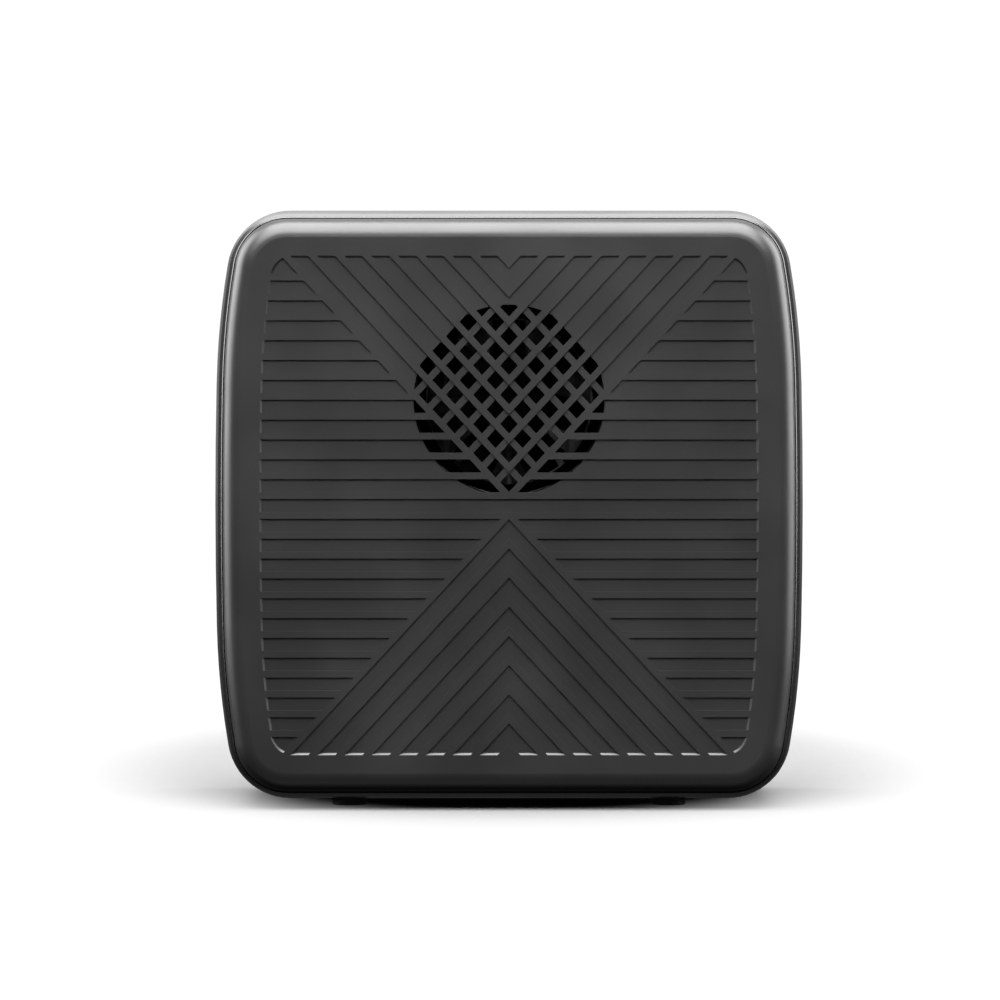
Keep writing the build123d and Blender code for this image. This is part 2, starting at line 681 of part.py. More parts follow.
def make_heat_sink():
    """Extruded aluminium sink with upright fins on the fan's side."""
    base_front = SINK_BACK - SINK_BASE
    base = Pos(0, SINK_Z) * RectangleRounded(2 * SINK_HALF, 2 * SINK_HALF, 1.5)
    for sx, sz in CORNERS:
        base -= Pos(sx * SINK_SCREW, SINK_Z + sz * SINK_SCREW) * Circle(1.5)
    fins = []
    for count in range(FIN_COUNT):
        x = (count - (FIN_COUNT - 1) / 2) * FIN_PITCH
        fin = block(FIN_THICK, 2 * SINK_HALF - 2.0, SINK_FRONT, base_front, x, SINK_Z)
        fins.append(fin)
    return joined([slab(base, base_front, SINK_BACK)] + fins)


def make_sink_standoffs():
    return [
        tube(2.4, 1.3, SINK_BACK, BOARD_FRONT, sx * SINK_SCREW, SINK_Z + sz * SINK_SCREW)
        for sx, sz in CORNERS
    ]


def make_sink_screws():
    return [
        screw(2.6, 1.8, 1.2, SINK_BASE + 3.4, SINK_BACK - SINK_BASE,
              sx * SINK_SCREW, SINK_Z + sz * SINK_SCREW)
        for sx, sz in CORNERS
    ]


def make_processor():
    return block(21.0, 21.0, BOARD_FRONT - CHIP_THICK, BOARD_FRONT, 0, PROCESSOR_Z)


def make_memory_chips():
    return [block(8.0, 13.0, BOARD_FRONT - CHIP_THICK, BOARD_FRONT, x, MEMORY_Z) for x in (-7.0, 7.0)]


def make_thermal_pads():
    back = BOARD_FRONT - CHIP_THICK
    return [
        block(20.0, 20.0, SINK_BACK, back, 0, PROCESSOR_Z),
        block(22.0, 12.0, SINK_BACK, back, 0, MEMORY_Z),
    ]


def make_shield_cans():
    """Two drawn radio shields with rows of holes, open towards the board."""
    top = BOARD_BACK + CAN_DEPTH
    under = top - CAN_WALL
    cans = []
    for x in (-RADIO_X, RADIO_X):
        can = block(CAN_W, CAN_H, BOARD_BACK, top, x, RADIO_Z)
        can = fillet(can.edges().group_by(Axis.Y)[-1], 0.6)
        can -= block(CAN_W - 2 * CAN_WALL, CAN_H - 2 * CAN_WALL, BOARD_BACK, under, x, RADIO_Z)
        for row in range(3):
            for column in range(5):
                hole_x = x + (column - 2) * 6.0
                hole_z = RADIO_Z + (row - 1) * 7.0
                can -= disc(0.9, under, top, hole_x, hole_z)
        cans.append(can)
    return cans


def make_radio_chips():
    return [block(9.0, 9.0, BOARD_BACK, BOARD_BACK + 1.0, x, RADIO_Z) for x in (-RADIO_X, RADIO_X)]


def make_board_screws():
    return [screw(2.6, 1.7, SCREW_R, BOARD_THICK + 8.0, BOARD_FRONT, x, z) for x, z in BOARD_HOLES]


def make_jack_shell(x):
    """Metal shell of one network jack, open at the back of the node."""
    shell = block(JACK_W, JACK_H, BOARD_BACK, PANEL_FACE, x, PORT_Z)
    shell -= block(JACK_W - 2 * JACK_WALL, JACK_H - 2 * JACK_WALL, BOARD_BACK, PANEL_FACE, x, PORT_Z)
    return shell


def make_jack_insert(x):
    """Plastic body inside a jack shell, with the keyed mouth that takes the plug."""
    wall = JACK_WALL + 0.01
    body = block(JACK_W - 2 * wall, JACK_H - 2 * wall, BOARD_BACK, PANEL_FACE, x, PORT_Z)
    mouth_front = PANEL_FACE - JACK_MOUTH_DEPTH
    body -= block(JACK_MOUTH_W, JACK_MOUTH_H, mouth_front, PANEL_FACE, x, JACK_MOUTH_Z)
    key_z = JACK_MOUTH_Z + JACK_MOUTH_H / 2 + JACK_KEY_H / 2
    body -= block(JACK_KEY_W, JACK_KEY_H, mouth_front, PANEL_FACE, x, key_z)
    return body


def make_jack_contacts():
    """Eight spring wires in each network jack, along the lower wall of its mouth."""
    wires = []
    bottom = JACK_MOUTH_Z - JACK_MOUTH_H / 2
    for x in [WAN_X] + LAN_XS:
        for count in range(8):
            wire_x = x + (count - 3.5) * CONTACT_PITCH
            start = PANEL_FACE - JACK_MOUTH_DEPTH
            wire = disc(CONTACT_R, start, start + CONTACT_LENGTH, wire_x, bottom + CONTACT_R + 0.02)
            wires.append(wire)
    return wires


def make_magnetics():
    return [block(14.0, 9.0, BOARD_FRONT - 4.5, BOARD_FRONT, x, PORT_Z + 1.0) for x in [WAN_X] + LAN_XS]


def make_power_inlet():
    """Barrel socket for a low-voltage supply."""
    body = block(DC_W, DC_H, BOARD_BACK, PANEL_FACE, DC_X, PORT_Z)
    body -= disc(DC_BORE_R, PANEL_FACE - DC_BORE_DEPTH, PANEL_FACE, DC_X, PORT_Z)
    return body


def make_power_pin():
    pin = disc(1.0, PANEL_FACE - DC_BORE_DEPTH, PANEL_FACE - 1.0, DC_X, PORT_Z)
    return fillet(pin.edges().group_by(Axis.Y)[-1], 0.6)


def make_capacitors():
    """Upright electrolytic cans on the board's rear face."""
    spots = [(-48.0, -3.0), (-48.0, -14.0), (48.0, -3.0)]
    cans = []
    for x, z in spots:
        can = disc(4.0, BOARD_BACK, BOARD_BACK + 10.0, x, z)
        cans.append(fillet(can.edges().group_by(Axis.Y)[-1], 0.7))
    return cans


def make_inductors():
    return [
        fillet(block(8.0, 8.0, BOARD_BACK, BOARD_BACK + 4.5, x, z).edges().filter_by(Axis.Y), 1.2)
        for x, z in [(-32.0, -6.0), (-20.0, -6.0), (46.0, -16.0)]
    ]


def make_flash_chips():
    return [block(6.0, 8.0, BOARD_BACK, BOARD_BACK + 1.2, x, -6.0) for x in (4.0, 16.0, 28.0)]


# ================================================================ buttons and light


def make_button(x, cap_r, stem_r):
    """Cap and stem of a rear button; the stem ends on its switch."""
    panel_back = PANEL_FACE - PANEL_THICK
    skirt = panel_back - BUTTON_SKIRT
    cap = disc(cap_r, skirt, PANEL_FACE + BUTTON_PROUD, x, PORT_Z)
    cap = fillet(cap.edges().group_by(Axis.Y)[-1], 0.5)
    rim = disc(cap_r + BUTTON_RIM, skirt, panel_back - 0.1, x, PORT_Z)
    stem = disc(stem_r, BOARD_BACK + SWITCH_HEIGHT + PLUNGER_PROUD, skirt, x, PORT_Z)
    return cap + rim + stem


def make_switch_plunger(x, z):
    base = BOARD_BACK + SWITCH_HEIGHT
    return disc(PLUNGER_R, base - PLUNGER_SUNK, base + PLUNGER_PROUD, x, z)


def make_switch_body(x, z):
    """Square tactile switch with a well that its plunger sinks into."""
    body = block(SWITCH_W, SWITCH_W, BOARD_BACK, BOARD_BACK + SWITCH_HEIGHT, x, z)
    return body - disc(PLUNGER_R + 0.07, BOARD_BACK + SWITCH_WELL, BOARD_BACK + SWITCH_HEIGHT, x, z)


def make_status_lamp():
    return block(3.0, 2.0, BOARD_BACK, BOARD_BACK + 1.2, LIGHT_X, LIGHT_Z)


def make_light_pipe():
    pipe = disc(PIPE_R, BOARD_BACK + 1.4, PANEL_FACE + 0.2, LIGHT_X, LIGHT_Z)
    return fillet(pipe.edges().group_by(Axis.Y)[-1], 0.4)


# ================================================================ antennas and leads


def make_antenna_holders():
    """Four plastic strips bonded to the inside of the housing's belt."""
    inside = slab(outline(WALL), -8.0, 8.0)
    sides = [block(8.0, 50.0, -6.0, 6.0, sx * 71.5, 12.0) & inside for sx in (-1, 1)]
    tops = [block(50.0, 8.0, -6.0, 6.0, sx * 29.0, 71.5) & inside for sx in (-1, 1)]
    return sides + tops


def make_antenna_boards():
    """Printed antennas on the holders."""
    sides = [block(0.8, 46.0, -5.5, 5.5, sx * 67.1, 12.0) for sx in (-1, 1)]
    tops = [block(46.0, 0.8, -5.5, 5.5, sx * 29.0, 67.1) for sx in (-1, 1)]
    return sides + tops


def make_antenna_leads():
    """Thin coaxial leads from each antenna to a plug on the board's front face."""
    leads = []
    for sx in (-1, 1):
        leads.append(lead(
            [(sx * 66.7, 0, CENTRE_Z + 24), (sx * 61.0, 0, CENTRE_Z + 24),
             (sx * 52.0, 2.0, CENTRE_Z + 34), (sx * 52.0, BOARD_FRONT - 1.6, CENTRE_Z + 34)],
            0.57, 2.6))
        leads.append(lead(
            [(sx * 40.0, 0, CENTRE_Z + 66.7), (sx * 40.0, 0, CENTRE_Z + 61.5),
             (sx * 47.0, 3.0, CENTRE_Z + 54.0), (sx * 52.0, 3.0, CENTRE_Z + 41.0),
             (sx * 52.0, BOARD_FRONT - 1.6, CENTRE_Z + 41.0)],
            0.57, 2.4))
    return leads


def make_antenna_plugs():
    plugs = []
    for sx in (-1, 1):
        for z in (34.0, 41.0):
            plugs.append(disc(1.3, BOARD_FRONT - 1.6, BOARD_FRONT, sx * 52.0, z))
    return plugs


def make_fan_header():
    return block(8.0, 5.0, BOARD_FRONT - 6.0, BOARD_FRONT, -49.0, -2.0)


def make_fan_lead():
    """Fan's sleeved lead, from the fan's corner to the header on the board."""
    return lead(
        [(-FAN_SIZE / 2, FAN_BACK - 1.3, CENTRE_Z + 10.0), (-30.0, FAN_BACK - 1.3, CENTRE_Z + 10.0),
         (-42.0, FAN_BACK + 4.0, CENTRE_Z + 2.0), (-49.0, -6.0, CENTRE_Z - 2.0),
         (-49.0, BOARD_FRONT - 6.0, CENTRE_Z - 2.0)],
        1.1, 4.5)


# ================================================================ cover screws


def make_rear_screws():
    return [
        screw(2.6, 1.8, 1.2, 8.0, REAR - WELL_DEPTH, sx * COVER_SCREW[0], sz * COVER_SCREW[1], direction=-1)
        for sx, sz in CORNERS
    ]


def make_front_screws():
    return [
        screw(2.6, 1.8, SCREW_R, EAR_THICK + 4.5, EAR_FRONT + EAR_THICK,
              sx * FRONT_SCREW[0], sz * FRONT_SCREW[1], direction=-1)
        for sx, sz in CORNERS
    ]


# ================================================================ parts

parts = {
    "front_cover": make_front_cover(),
    "front_gasket": make_seam_gasket(-1),
    "main_housing": make_main_housing(),
    "rear_gasket": make_seam_gasket(1),
    "rear_cover": make_rear_cover(),
    "port_panel": make_port_panel(),
    "label_plate": make_label_plate(),
    "rubber_feet": make_rubber_feet(),
    "front_cover_screws": make_front_screws(),
    "rear_cover_screws": make_rear_screws(),
    "inlet_funnel": make_inlet_funnel(),
    "fan_frame": make_fan_frame(),
    "fan_rotor": make_fan_rotor(),
    "fan_shaft": make_fan_shaft(),
    "fan_magnet_ring": make_fan_magnet(),
    "fan_bearing": make_fan_bearing(),
    "fan_stator_core": make_fan_stator(),
    "fan_coils": make_fan_coils(),
    "fan_driver_board": make_fan_board(),
    "fan_screws": make_fan_screws(),
    "fan_lead": make_fan_lead(),
    "fan_header": make_fan_header(),
    "main_board": make_main_board(),
    "board_screws": make_board_screws(),
    "heat_sink": make_heat_sink(),
    "heat_sink_standoffs": make_sink_standoffs(),
    "heat_sink_screws": make_sink_screws(),
    "thermal_pads": make_thermal_pads(),
    "processor_chip": make_processor(),
    "memory_chips": make_memory_chips(),
    "flash_chips": make_flash_chips(),
    "radio_chips": make_radio_chips(),
    "radio_shield_cans": make_shield_cans(),
    "capacitors": make_capacitors(),
    "inductors": make_inductors(),
    "network_magnetics": make_magnetics(),
    "wan_jack_shell": make_jack_shell(WAN_X),
    "wan_jack_insert": make_jack_insert(WAN_X),
    "lan_jack_1_shell": make_jack_shell(LAN_XS[0]),
    "lan_jack_1_insert": make_jack_insert(LAN_XS[0]),
    "lan_jack_2_shell": make_jack_shell(LAN_XS[1]),
    "lan_jack_2_insert": make_jack_insert(LAN_XS[1]),
    "jack_contacts": make_jack_contacts(),
    "power_inlet": make_power_inlet(),
    "power_inlet_pin": make_power_pin(),
    "power_button": make_button(POWER_X, POWER_R, 2.0),
    "power_switch_plunger": make_switch_plunger(POWER_X, PORT_Z),
    "power_switch_body": make_switch_body(POWER_X, PORT_Z),
    "pair_button": make_button(PAIR_X, PAIR_R, 1.8),
    "pair_switch_plunger": make_switch_plunger(PAIR_X, PORT_Z),
    "pair_switch_body": make_switch_body(PAIR_X, PORT_Z),
    "reset_plunger": make_switch_plunger(RESET_X, RESET_Z),
    "reset_switch_body": make_switch_body(RESET_X, RESET_Z),
    "status_lamp": make_status_lamp(),
    "light_pipe": make_light_pipe(),
    "antenna_holders": make_antenna_holders(),
    "antenna_boards": make_antenna_boards(),
    "antenna_leads": make_antenna_leads(),
    "antenna_plugs": make_antenna_plugs(),
}

os.makedirs("parts", exist_ok=True)
for name, shape in parts.items():
    if isinstance(shape, list):
        shape = Compound(children=shape)
    export_step(shape, f"parts/{name}.step")
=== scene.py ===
"""Looks of the mesh wifi node: materials, small details, floor, lights and camera.

Metres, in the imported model's frame: +Z up, the ribbed front faces -Y.
"""
import json
import math
import random

import bmesh
import bpy
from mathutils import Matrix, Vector


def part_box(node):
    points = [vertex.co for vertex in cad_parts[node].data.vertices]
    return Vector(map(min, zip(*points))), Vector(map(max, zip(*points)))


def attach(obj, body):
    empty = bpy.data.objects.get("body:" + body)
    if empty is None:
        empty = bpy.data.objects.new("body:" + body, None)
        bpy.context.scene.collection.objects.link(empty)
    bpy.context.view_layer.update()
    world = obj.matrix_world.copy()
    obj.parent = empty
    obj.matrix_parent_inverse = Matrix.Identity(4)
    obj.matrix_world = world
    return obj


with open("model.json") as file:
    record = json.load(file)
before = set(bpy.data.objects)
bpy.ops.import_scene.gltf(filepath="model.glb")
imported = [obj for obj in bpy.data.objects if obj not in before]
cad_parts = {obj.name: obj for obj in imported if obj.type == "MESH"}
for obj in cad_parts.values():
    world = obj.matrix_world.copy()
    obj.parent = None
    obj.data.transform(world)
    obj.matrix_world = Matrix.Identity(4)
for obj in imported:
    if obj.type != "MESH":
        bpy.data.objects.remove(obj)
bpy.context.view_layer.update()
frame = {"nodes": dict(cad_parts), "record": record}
nodes = frame["nodes"]

MM = 0.001
housing_low, housing_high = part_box("main_housing")
CENTRE_Z = (housing_low.z + housing_high.z) / 2
FRONT_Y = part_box("front_cover")[0].y

# ---------------------------------------------------------------- camera
VIEW_DISTANCE = 1.0         # from the camera to the front face
VIEW_WIDTH = 0.2518         # width seen at the front face
VIEW_RISE = 0.014           # camera above the body's centre
SENSOR = 36.0
SHIFT_X = -0.00905
SHIFT_Y = 0.0056

# ---------------------------------------------------------------- light
FLOOR_HALF = 6.0
DOME_RADIUS = 5.5
FLOOR_WHITE = 0.132
FADE_HALF = (0.135, 0.25)   # the floor turns backdrop white this far out across, and front to back,
FADE_CENTRE_Y = 0.13        # measured from this far behind the node
FADE_START = 0.62           # share of that distance where it starts to turn
BACKDROP_LEVEL = 1.05
BOX_DISTANCE = 1.6          # from the node's middle to each softbox
TOP_BOX_LEAN = 25.0         # degrees that the overhead box leans to the front
TOP_BOX_SIZE = (2.04, 2.28)
TOP_BOX_POWER = 222.0
SIDE_BOX_BACK = 9.0         # degrees that the side boxes stand behind the node
SIDE_BOX_SIZE = (1.35, 1.9)
SIDE_BOX_POWER = 70.0
SIDE_BOX_LOW = 0.04         # lower edge of the side boxes above the floor
SKY_FRONT = 0.18            # how bright the sky is in front of the node,
SKY_BEHIND = 1.8            # and behind it
UNDER_LEVEL = 0.44          # how bright the ground in front of the node looks in its reflections
STRIP_LEVEL = 0.3           # brightness of the upright strips behind the node, at either side

# Sky brightness against height: 0 is straight down, 0.5 the horizon and 1 straight up.
SKY_LEVELS = [(0.0, 0.01), (0.485, 0.03), (0.5, 0.12), (0.585, 0.12), (0.615, 0.7), (1.0, 1.0)]

# Where the ground's and the strips' light starts and ends, in the unit vector of the direction looked in.
UNDER_HEIGHT = (-0.5, -0.95)    # the ground brightens from the first height down to the second,
UNDER_DEPTH = (-0.42, -0.08)    # and darkens towards the node
STRIP_INNER = (0.08, 0.15)      # the strips' edge nearest the node
STRIP_OUTER = (0.24, 0.3)       # and their far edge
STRIP_DEPTH = (0.3, 0.6)
STRIP_HEIGHT = (-0.04, 0.0)


# ================================================================ node helpers


def new_material(name):
    """New material, its node tree and the Principled shader that is its surface."""
    material = bpy.data.materials.new(name)
    material.use_nodes = True
    tree = material.node_tree
    tree.nodes.clear()
    output = tree.nodes.new("ShaderNodeOutputMaterial")
    shader = tree.nodes.new("ShaderNodeBsdfPrincipled")
    tree.links.new(shader.outputs["BSDF"], output.inputs["Surface"])
    return material, tree, shader


def noise(tree, scale, detail=3.0, stretch=(1, 1, 1)):
    """Noise value in the object's own coordinates, in features per metre."""
    place = tree.nodes.new("ShaderNodeTexCoord")
    mapping = tree.nodes.new("ShaderNodeMapping")
    mapping.inputs["Scale"].default_value = stretch
    texture = tree.nodes.new("ShaderNodeTexNoise")
    texture.inputs["Scale"].default_value = scale
    texture.inputs["Detail"].default_value = detail
    tree.links.new(place.outputs["Object"], mapping.inputs["Vector"])
    tree.links.new(mapping.outputs["Vector"], texture.inputs["Vector"])
    return texture.outputs["Fac"]


def mapped(tree, value, low, high, low_result=0, high_result=1):
    """The value's range low..high mapped to low_result..high_result, and held beyond it."""
    ranger = tree.nodes.new("ShaderNodeMapRange")
    ranger.inputs["From Min"].default_value = low
    ranger.inputs["From Max"].default_value = high
    ranger.inputs["To Min"].default_value = low_result
    ranger.inputs["To Max"].default_value = high_result
    tree.links.new(value, ranger.inputs["Value"])
    return ranger.outputs["Result"]


def spread(tree, value, low, high):
    """The value, mapped from noise's usual range to low..high."""
    return mapped(tree, value, 0.3, 0.7, low, high)


def combined(tree, operation, first, second):
    """Two values combined by a Math node's operation."""
    maths = tree.nodes.new("ShaderNodeMath")
    maths.operation = operation
    tree.links.new(first, maths.inputs[0])
    tree.links.new(second, maths.inputs[1])
    return maths.outputs["Value"]


def absolute(tree, value):
    maths = tree.nodes.new("ShaderNodeMath")
    maths.operation = "ABSOLUTE"
    tree.links.new(value, maths.inputs[0])
    return maths.outputs["Value"]


def blend_colours(tree, factor, first, second):
    """Colour between two; each is a colour or a socket."""
    mixer = tree.nodes.new("ShaderNodeMix")
    mixer.data_type = "RGBA"
    tree.links.new(factor, mixer.inputs["Factor"])
    for socket, colour in ((mixer.inputs[6], first), (mixer.inputs[7], second)):
        if isinstance(colour, bpy.types.NodeSocket):
            tree.links.new(colour, socket)
        else:
            socket.default_value = (*colour, 1.0)
    return mixer.outputs[2]


def soft_edges(tree, radius):
    """Normal of edges rounded by radius, and a mask that is 1 on them."""
    bevel = tree.nodes.new("ShaderNodeBevel")
    bevel.samples = 6
    bevel.inputs["Radius"].default_value = radius
    geometry = tree.nodes.new("ShaderNodeNewGeometry")
    dot = tree.nodes.new("ShaderNodeVectorMath")
    dot.operation = "DOT_PRODUCT"
    tree.links.new(bevel.outputs["Normal"], dot.inputs[0])
    tree.links.new(geometry.outputs["Normal"], dot.inputs[1])
    return bevel.outputs["Normal"], mapped(tree, dot.outputs["Value"], 0.995, 0.85)


def bump(tree, height, depth, normal=None):
    """Normal bumped by height, whose full range stands for depth in metres."""
    node = tree.nodes.new("ShaderNodeBump")
    node.inputs["Strength"].default_value = 1.0
    node.inputs["Distance"].default_value = depth
    tree.links.new(height, node.inputs["Height"])
    if normal is not None:
        tree.links.new(normal, node.inputs["Normal"])
    return node.outputs["Normal"]


def tone(colour, factor):
    """The colour made brighter or darker by factor."""
    return tuple(min(channel * factor, 1.0) for channel in colour)


# ================================================================ materials


def moulded(name, colour, roughness, grain=0.25, depth=4.0, edge=0.15, wear=1.35, coat=0.0, specular=0.5):
    """Moulded plastic: spark-eroded grain, faint flow marks and slightly polished edges.

    grain is the size of the texture and edge the edge rounding, in mm; depth is in micrometres.
    With edge 0 the edges stay as sharp as the model's.
    """
    material, tree, shader = new_material(name)
    flow = spread(tree, noise(tree, 22.0, 4.0), 0.0, 1.0)
    fine = noise(tree, 1 / (grain * MM), 2.0)
    body = blend_colours(tree, flow, tone(colour, 0.93), tone(colour, 1.07))
    normal = None
    if edge:
        normal, mask = soft_edges(tree, edge * MM)
        body = blend_colours(tree, mask, body, tone(colour, wear))
    tree.links.new(body, shader.inputs["Base Color"])
    smudge = spread(tree, noise(tree, 48.0, 5.0), roughness - 0.03, roughness + 0.04)
    tree.links.new(smudge, shader.inputs["Roughness"])
    tree.links.new(bump(tree, fine, depth * 1e-6, normal), shader.inputs["Normal"])
    shader.inputs["Coat Weight"].default_value = coat
    shader.inputs["Coat Roughness"].default_value = 0.12
    shader.inputs["Specular IOR Level"].default_value = specular
    return material


def metal(name, colour, roughness, stretch=(1, 1, 1), scale=900.0, depth=2.0, edge=0.08):
    """Metal with fine lines along the short axis of stretch, and uneven polish."""
    material, tree, shader = new_material(name)
    lines = noise(tree, scale, 4.0, stretch)
    cloud = spread(tree, noise(tree, 120.0, 3.0), 0.0, 1.0)
    body = blend_colours(tree, cloud, tone(colour, 0.86), tone(colour, 1.06))
    normal, mask = soft_edges(tree, edge * MM)
    worn = blend_colours(tree, mask, body, tone(colour, 1.18))
    tree.links.new(worn, shader.inputs["Base Color"])
    tree.links.new(spread(tree, lines, roughness - 0.07, roughness + 0.09), shader.inputs["Roughness"])
    tree.links.new(bump(tree, lines, depth * 1e-6, normal), shader.inputs["Normal"])
    shader.inputs["Metallic"].default_value = 1.0
    return material


def rubber(name, colour, roughness=0.7):
    """Soft rubber: dull, dusty, with a coarse skin."""
    material, tree, shader = new_material(name)
    dust = spread(tree, noise(tree, 260.0, 6.0), 0.0, 1.0)
    body = blend_colours(tree, dust, tone(colour, 0.8), tone(colour, 1.6))
    tree.links.new(body, shader.inputs["Base Color"])
    skin = spread(tree, noise(tree, 700.0), roughness - 0.05, roughness + 0.1)
    tree.links.new(skin, shader.inputs["Roughness"])
    normal, _ = soft_edges(tree, 0.2 * MM)
    tree.links.new(bump(tree, noise(tree, 2600.0, 3.0), 12e-6, normal), shader.inputs["Normal"])
    shader.inputs["Specular IOR Level"].default_value = 0.3
    return material


def seal_rubber(name, colour):
    """Rubber of the seam gaskets: a smooth shiny lip, and painted shade at the bottom of the seam, where
    faces that look straight to the front or back are made near black and almost without shine.
    """
    material, tree, shader = new_material(name)
    geometry = tree.nodes.new("ShaderNodeNewGeometry")
    split = tree.nodes.new("ShaderNodeSeparateXYZ")
    tree.links.new(geometry.outputs["Normal"], split.inputs["Vector"])
    # Painted shade: picks out faces that look straight to the front or back, the bottom of the seam gap, to
    # be darkened.
    painted_gap_shade = mapped(tree, absolute(tree, split.outputs["Y"]), 0.8, 0.95)
    cloud = spread(tree, noise(tree, 300.0, 3.0), 0.0, 1.0)
    lip = blend_colours(tree, cloud, tone(colour, 0.9), tone(colour, 1.1))
    # Painted shade: the bottom of the seam is darkened to 0.15 of the rubber's colour, and its shine is
    # turned almost off below.
    body = blend_colours(tree, painted_gap_shade, lip, tone(colour, 0.15))
    tree.links.new(body, shader.inputs["Base Color"])
    tree.links.new(mapped(tree, painted_gap_shade, 0, 1, 0.65, 0.05), shader.inputs["Specular IOR Level"])
    tree.links.new(spread(tree, noise(tree, 700.0), 0.24, 0.3), shader.inputs["Roughness"])
    tree.links.new(bump(tree, noise(tree, 3000.0, 2.0), 1e-6), shader.inputs["Normal"])
    return material


def solder_mask(name, colour):
    """Circuit board: glossy lacquer over copper tracks that run along both edges."""
    material, tree, shader = new_material(name)
    place = tree.nodes.new("ShaderNodeTexCoord")
    brick = tree.nodes.new("ShaderNodeTexBrick")
    turn = tree.nodes.new("ShaderNodeMapping")
    turn.inputs["Rotation"].default_value = (math.pi / 2, 0, 0)
    tree.links.new(place.outputs["Object"], turn.inputs["Vector"])
    tree.links.new(turn.outputs["Vector"], brick.inputs["Vector"])
    brick.inputs["Scale"].default_value = 300.0
    brick.inputs["Mortar Size"].default_value = 0.06
    brick.inputs["Mortar Smooth"].default_value = 0.3
    brick.inputs["Brick Width"].default_value = 2.6
    brick.inputs["Row Height"].default_value = 0.3
    gate = spread(tree, noise(tree, 70.0, 1.0), 0.0, 1.0)
    tracks = combined(tree, "MULTIPLY", brick.outputs["Fac"], gate)
    body = blend_colours(tree, tracks, colour, tone(colour, 2.2))
    tree.links.new(body, shader.inputs["Base Color"])
    tree.links.new(spread(tree, noise(tree, 500.0), 0.22, 0.34), shader.inputs["Roughness"])
    tree.links.new(bump(tree, tracks, 25e-6), shader.inputs["Normal"])
    shader.inputs["Coat Weight"].default_value = 0.4
    return material


def clear_plastic(name):
    """Milky clear plastic of the light pipe."""
    material, tree, shader = new_material(name)
    cloud = spread(tree, noise(tree, 400.0), 0.0, 1.0)
    body = blend_colours(tree, cloud, (0.75, 0.77, 0.78), (0.88, 0.89, 0.9))
    tree.links.new(body, shader.inputs["Base Color"])
    tree.links.new(spread(tree, noise(tree, 900.0), 0.12, 0.22), shader.inputs["Roughness"])
    shader.inputs["Transmission Weight"].default_value = 0.45
    shader.inputs["IOR"].default_value = 1.58
    return material


BLACK = (0.0012, 0.0012, 0.0013)
CHARCOAL = (0.007, 0.007, 0.0071)

slot_materials = {
    "body_plastic": moulded("body_plastic", CHARCOAL, 0.38, grain=0.16, depth=2.5, edge=0),
    "panel_plastic": moulded("panel_plastic", (0.020, 0.020, 0.0205), 0.5, grain=0.3, depth=12.0),
    "gasket_rubber": seal_rubber("gasket_rubber", CHARCOAL),
    "foot_rubber": rubber("foot_rubber", (0.018, 0.018, 0.018)),
    "label_film": moulded("label_film", (0.16, 0.16, 0.165), 0.38, grain=0.5, depth=2.0, wear=1.1),
    "screw_steel": metal("screw_steel", (0.20, 0.20, 0.21), 0.35, scale=2500.0),
    "funnel_gloss": moulded("funnel_gloss", BLACK, 0.16, grain=0.8, depth=1.0, coat=0.5),
    "fan_plastic": moulded("fan_plastic", BLACK, 0.5, grain=0.3, depth=8.0, specular=0.04),
    "rotor_plastic": moulded("rotor_plastic", BLACK, 0.45, grain=0.4, depth=3.0, specular=0.04),
    "shaft_steel": metal("shaft_steel", (0.6, 0.6, 0.62), 0.22),
    "magnet_ferrite": moulded("magnet_ferrite", (0.05, 0.045, 0.045), 0.7, depth=14.0),
    "bearing_bronze": metal("bearing_bronze", (0.55, 0.36, 0.16), 0.45),
    "core_steel": metal("core_steel", (0.45, 0.45, 0.47), 0.4, stretch=(0.2, 8.0, 0.2), depth=12.0),
    "winding_copper": metal("winding_copper", (0.62, 0.24, 0.1), 0.3, stretch=(0.3, 6.0, 0.3), depth=25.0),
    "board_laminate": solder_mask("board_laminate", (0.008, 0.035, 0.02)),
    "sink_aluminium": metal("sink_aluminium", (0.72, 0.73, 0.74), 0.38, stretch=(1, 1, 0.02), depth=8.0),
    "standoff_brass": metal("standoff_brass", (0.72, 0.53, 0.24), 0.3),
    "chip_epoxy": moulded("chip_epoxy", (0.018, 0.018, 0.019), 0.55, grain=0.12, depth=10.0, wear=1.8),
    "pad_silicone": rubber("pad_silicone", (0.2, 0.28, 0.36), 0.6),
    "shield_tin": metal("shield_tin", (0.62, 0.62, 0.61), 0.32, scale=500.0, depth=4.0),
    "capacitor_sleeve": metal("capacitor_sleeve", (0.6, 0.6, 0.62), 0.34),
    "ferrite": moulded("ferrite", (0.07, 0.07, 0.075), 0.62, grain=0.1, depth=16.0, wear=1.7),
    "magnetics_case": moulded("magnetics_case", (0.018, 0.018, 0.018), 0.5, depth=8.0),
    "jack_metal": metal("jack_metal", (0.62, 0.62, 0.62), 0.27, stretch=(1, 1, 0.05), depth=3.0, edge=0.12),
    "jack_plastic": moulded("jack_plastic", (0.014, 0.014, 0.015), 0.45, depth=6.0),
    "contact_gold": metal("contact_gold", (0.9, 0.62, 0.22), 0.2, depth=1.0, edge=0.03),
    "pin_nickel": metal("pin_nickel", (0.65, 0.64, 0.6), 0.2),
    "button_plastic": moulded("button_plastic", (0.03, 0.03, 0.031), 0.3, grain=0.2, depth=2.0),
    "switch_plastic": moulded("switch_plastic", (0.02, 0.02, 0.021), 0.5, depth=8.0),
    "plunger_plastic": moulded("plunger_plastic", (0.4, 0.39, 0.36), 0.45, depth=6.0),
    "header_plastic": moulded("header_plastic", (0.6, 0.57, 0.48), 0.4, depth=6.0),
    "lead_sleeve": rubber("lead_sleeve", (0.016, 0.016, 0.016), 0.5),
    "lamp_epoxy": moulded("lamp_epoxy", (0.7, 0.68, 0.5), 0.2, depth=2.0, coat=0.6),
    "light_pipe_clear": clear_plastic("light_pipe_clear"),
}

